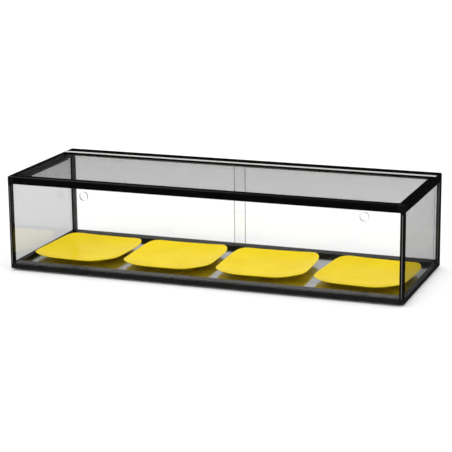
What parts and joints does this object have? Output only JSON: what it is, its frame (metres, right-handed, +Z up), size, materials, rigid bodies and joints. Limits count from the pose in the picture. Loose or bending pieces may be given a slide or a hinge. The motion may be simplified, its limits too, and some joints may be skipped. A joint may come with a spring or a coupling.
{
  "type": "bakery display case",
  "caption": "Low wide countertop display case: black frame, clear front, smoked sides and top, sliding rear glass doors, steel deck and removable serving plates.",
  "frame": {"origin": "middle of the footprint, on the surface the feet stand on", "axes": "+X to the right along the long side, +Y from the customer's side to the sliding doors, +Z up"},
  "size_m": [1.04, 0.38, 0.248],
  "materials": {
    "black_frame": "gloss black coating",
    "black_plastic": "semi-gloss",
    "satin_trim": "satin",
    "stainless_deck": "polished and finely brushed",
    "black_sheet": "matt powder coat",
    "clear_glass": "clear, polished edges",
    "smoked_glass": "faint grey tint",
    "rubber": "matt",
    "nylon": "matt",
    "screw_steel": "zinc plated",
    "yellow_melamine": "gloss"
  },
  "bodies": {
    "case": {"bottom_rail_front": "black_frame", "bottom_rail_left": "black_frame", "bottom_rail_right": "black_frame", "bottom_track_rear": "black_frame", "base_panel": "black_sheet", "deck_panel": "stainless_deck", "foot_front_left": "rubber", "foot_front_right": "rubber", "foot_rear_left": "rubber", "foot_rear_right": "rubber", "post_front_left": "black_frame", "post_front_right": "black_frame", "post_rear_left": "black_frame", "post_rear_right": "black_frame", "frame_screw_front_left": "screw_steel", "frame_screw_front_right": "screw_steel", "frame_screw_rear_left": "screw_steel", "frame_screw_rear_right": "screw_steel", "top_rail_front": "black_frame", "top_rail_left": "black_frame", "top_rail_right": "black_frame", "top_corner_front_left": "black_plastic", "top_corner_front_right": "black_plastic", "rear_header": "black_frame", "header_trim": "satin_trim", "header_end_cap_left": "black_plastic", "header_end_cap_right": "black_plastic", "front_glass": "clear_glass", "left_glass": "smoked_glass", "right_glass": "smoked_glass", "top_glass": "smoked_glass", "inner_track_stop_left": "rubber", "inner_track_stop_right": "rubber", "outer_track_stop_left": "rubber", "outer_track_stop_right": "rubber"},
    "left_door": {"left_door": "clear_glass", "left_door_shoe_outer": "nylon", "left_door_shoe_inner": "nylon"},
    "right_door": {"right_door": "clear_glass", "right_door_shoe_outer": "nylon", "right_door_shoe_inner": "nylon"},
    "plate_1": {"serving_plate_1": "yellow_melamine"},
    "plate_2": {"serving_plate_2": "yellow_melamine"},
    "plate_3": {"serving_plate_3": "yellow_melamine"},
    "plate_4": {"serving_plate_4": "yellow_melamine"}
  },
  "joints": [
    {"name": "left_door_slide", "type": "slide", "parent": "case", "child": "left_door", "axis": [1, 0, 0], "range_m": [0, 0.509]},
    {"name": "right_door_slide", "type": "slide", "parent": "case", "child": "right_door", "axis": [1, 0, 0], "range_m": [-0.466, 0]},
    {"name": "plate_1_lift", "type": "slide", "parent": "case", "child": "plate_1", "axis": [0, 0, 1], "range_m": [0, 0.04]},
    {"name": "plate_2_lift", "type": "slide", "parent": "case", "child": "plate_2", "axis": [0, 0, 1], "range_m": [0, 0.04]},
    {"name": "plate_3_lift", "type": "slide", "parent": "case", "child": "plate_3", "axis": [0, 0, 1], "range_m": [0, 0.04]},
    {"name": "plate_4_lift", "type": "slide", "parent": "case", "child": "plate_4", "axis": [0, 0, 1], "range_m": [0, 0.04]}
  ]
}
